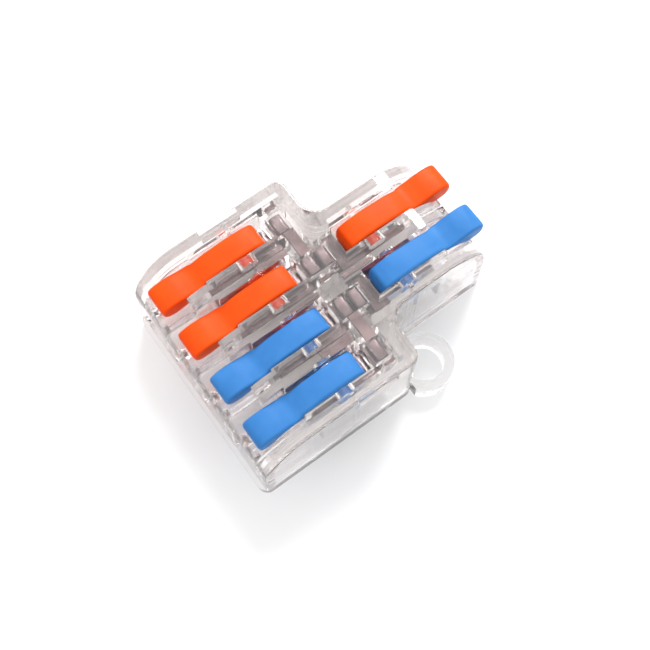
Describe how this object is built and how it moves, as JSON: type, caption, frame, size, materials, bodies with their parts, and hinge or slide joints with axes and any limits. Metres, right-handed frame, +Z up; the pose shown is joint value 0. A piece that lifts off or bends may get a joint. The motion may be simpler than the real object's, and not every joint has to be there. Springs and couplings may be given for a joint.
{
  "type": "lever wire connector",
  "caption": "Clear lever wire connector, T-shaped from above, with coloured levers that open clamps for wires and a screw ear.",
  "frame": {"origin": "centre of the underside of the base plate, halfway between the two wire faces", "axes": "+X along the wires towards the two-pole side, +Y towards the orange poles, +Z up out of the levers"},
  "size_m": [0.0362, 0.0277, 0.0128],
  "materials": {
    "clear_plastic": "clear moulded polycarbonate",
    "orange_plastic": "satin moulded nylon",
    "blue_plastic": "satin moulded nylon",
    "tinned_copper": "tin-plated copper strip",
    "spring_steel": "stainless spring strip"
  },
  "bodies": {
    "housing": {"upper_housing": "clear_plastic", "base_plate": "clear_plastic", "busbar_orange": "tinned_copper", "busbar_blue": "tinned_copper", "spring_base_four_orange_outer": "spring_steel", "spring_base_four_orange_inner": "spring_steel", "spring_base_four_blue_inner": "spring_steel", "spring_base_four_blue_outer": "spring_steel", "spring_base_two_orange": "spring_steel", "spring_base_two_blue": "spring_steel"},
    "lever_four_orange_outer": {"lever_four_orange_outer": "orange_plastic"},
    "leaf_four_orange_outer": {"spring_leaf_four_orange_outer": "spring_steel"},
    "lever_four_orange_inner": {"lever_four_orange_inner": "orange_plastic"},
    "leaf_four_orange_inner": {"spring_leaf_four_orange_inner": "spring_steel"},
    "lever_four_blue_inner": {"lever_four_blue_inner": "blue_plastic"},
    "leaf_four_blue_inner": {"spring_leaf_four_blue_inner": "spring_steel"},
    "lever_four_blue_outer": {"lever_four_blue_outer": "blue_plastic"},
    "leaf_four_blue_outer": {"spring_leaf_four_blue_outer": "spring_steel"},
    "lever_two_orange": {"lever_two_orange": "orange_plastic"},
    "leaf_two_orange": {"spring_leaf_two_orange": "spring_steel"},
    "lever_two_blue": {"lever_two_blue": "blue_plastic"},
    "leaf_two_blue": {"spring_leaf_two_blue": "spring_steel"}
  },
  "joints": [
    {"name": "lever_hinge_four_orange_outer", "type": "hinge", "parent": "housing", "child": "lever_four_orange_outer", "pos_m": [-0.0054, 0.009, 0.0099], "axis": [0, 1, 0], "range_deg": [0, 90]},
    {"name": "lever_hinge_four_orange_inner", "type": "hinge", "parent": "housing", "child": "lever_four_orange_inner", "pos_m": [-0.0054, 0.003, 0.0099], "axis": [0, 1, 0], "range_deg": [0, 90]},
    {"name": "lever_hinge_four_blue_inner", "type": "hinge", "parent": "housing", "child": "lever_four_blue_inner", "pos_m": [-0.0054, -0.003, 0.0099], "axis": [0, 1, 0], "range_deg": [0, 90]},
    {"name": "lever_hinge_four_blue_outer", "type": "hinge", "parent": "housing", "child": "lever_four_blue_outer", "pos_m": [-0.0054, -0.009, 0.0099], "axis": [0, 1, 0], "range_deg": [0, 90]},
    {"name": "lever_hinge_two_orange", "type": "hinge", "parent": "housing", "child": "lever_two_orange", "pos_m": [0.0074, 0.003, 0.0099], "axis": [0, -1, 0], "range_deg": [0, 90]},
    {"name": "lever_hinge_two_blue", "type": "hinge", "parent": "housing", "child": "lever_two_blue", "pos_m": [0.0074, -0.003, 0.0099], "axis": [0, -1, 0], "range_deg": [0, 90]},
    {"name": "leaf_bend_four_orange_outer", "type": "hinge", "parent": "housing", "child": "leaf_four_orange_outer", "pos_m": [0.0001, 0.009, 0.00905], "axis": [0, -1, 0], "range_deg": [0, 14]},
    {"name": "leaf_bend_four_orange_inner", "type": "hinge", "parent": "housing", "child": "leaf_four_orange_inner", "pos_m": [0.0001, 0.003, 0.00905], "axis": [0, -1, 0], "range_deg": [0, 14]},
    {"name": "leaf_bend_four_blue_inner", "type": "hinge", "parent": "housing", "child": "leaf_four_blue_inner", "pos_m": [0.0001, -0.003, 0.00905], "axis": [0, -1, 0], "range_deg": [0, 14]},
    {"name": "leaf_bend_four_blue_outer", "type": "hinge", "parent": "housing", "child": "leaf_four_blue_outer", "pos_m": [0.0001, -0.009, 0.00905], "axis": [0, -1, 0], "range_deg": [0, 14]},
    {"name": "leaf_bend_two_orange", "type": "hinge", "parent": "housing", "child": "leaf_two_orange", "pos_m": [0.0019, 0.003, 0.00905], "axis": [0, 1, 0], "range_deg": [0, 14]},
    {"name": "leaf_bend_two_blue", "type": "hinge", "parent": "housing", "child": "leaf_two_blue", "pos_m": [0.0019, -0.003, 0.00905], "axis": [0, 1, 0], "range_deg": [0, 14]}
  ],
  "couplings": [
    {"joint": "leaf_bend_four_orange_outer", "follows": "lever_hinge_four_orange_outer", "ratio": 0.1555},
    {"joint": "leaf_bend_four_orange_inner", "follows": "lever_hinge_four_orange_inner", "ratio": 0.1555},
    {"joint": "leaf_bend_four_blue_inner", "follows": "lever_hinge_four_blue_inner", "ratio": 0.1555},
    {"joint": "leaf_bend_four_blue_outer", "follows": "lever_hinge_four_blue_outer", "ratio": 0.1555},
    {"joint": "leaf_bend_two_orange", "follows": "lever_hinge_two_orange", "ratio": 0.1555},
    {"joint": "leaf_bend_two_blue", "follows": "lever_hinge_two_blue", "ratio": 0.1555}
  ]
}
